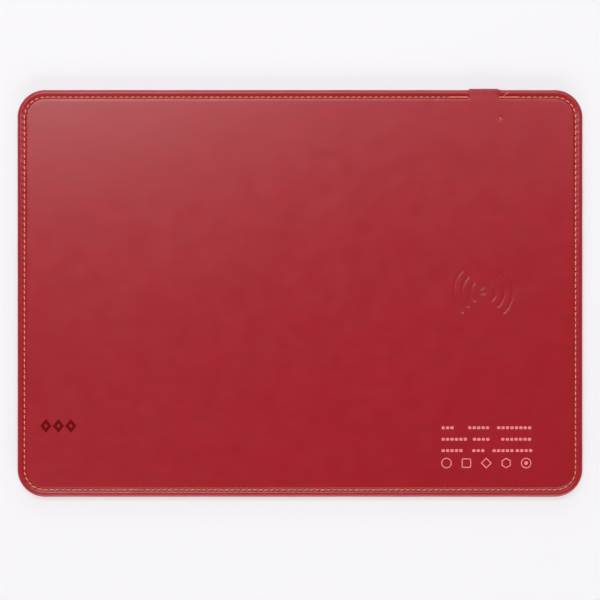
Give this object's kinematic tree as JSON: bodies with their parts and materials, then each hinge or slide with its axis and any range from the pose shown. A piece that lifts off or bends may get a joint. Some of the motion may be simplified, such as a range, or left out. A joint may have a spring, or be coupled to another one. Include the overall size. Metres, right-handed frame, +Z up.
{
  "type": "wireless charging pad",
  "caption": "Flat oblong desk pad in stitched imitation leather with a wireless charging coil and driver board sealed inside, fed through a small inlet in one long edge.",
  "frame": {"origin": "under the middle of the pad, on the surface that it lies on", "axes": "+X along the long edge towards the charging spot, +Y towards the edge that holds the inlet, +Z up through the charging face"},
  "size_m": [0.3, 0.2165, 0.0058],
  "materials": {
    "nonslip_cloth": "matte",
    "core_board": "matte",
    "foam": "matte",
    "red_leather": "satin",
    "orange_thread": "satin",
    "case_plastic": "matte",
    "screw_steel": "satin",
    "collar_plastic": "satin",
    "board_laminate": "gloss",
    "inlet_steel": "satin",
    "inlet_plastic": "matte",
    "gold_plate": "polished",
    "chip_epoxy": "matte",
    "inductor_ferrite": "matte",
    "capacitor_ceramic": "satin",
    "resistor_ceramic": "satin",
    "crystal_can": "satin",
    "led_resin": "gloss",
    "clear_acrylic": "gloss",
    "ferrite": "satin",
    "adhesive_film": "satin",
    "litz_copper": "satin",
    "sensor_epoxy": "gloss",
    "red_wire": "satin"
  },
  "bodies": {
    "root": {"base_sheet": "nonslip_cloth", "core_board": "core_board", "cushion_foam": "foam", "top_leather": "red_leather", "needle_thread": "orange_thread", "bobbin_thread": "orange_thread", "module_tray": "case_plastic", "module_lid": "case_plastic", "module_screws": "screw_steel", "inlet_collar": "collar_plastic", "circuit_board": "board_laminate", "usb_shell": "inlet_steel", "usb_tongue": "inlet_plastic", "usb_contacts": "gold_plate", "controller_chip": "chip_epoxy", "power_chips": "chip_epoxy", "power_inductor": "inductor_ferrite", "resonant_capacitors": "capacitor_ceramic", "ceramic_capacitors": "capacitor_ceramic", "chip_resistors": "resistor_ceramic", "timing_crystal": "crystal_can", "status_led": "led_resin", "light_guide": "clear_acrylic", "ferrite_plate": "ferrite", "coil_adhesive": "adhesive_film", "charging_coil": "litz_copper", "coil_leads": "litz_copper", "thermistor": "sensor_epoxy", "thermistor_leads": "red_wire"}
  },
  "joints": []
}
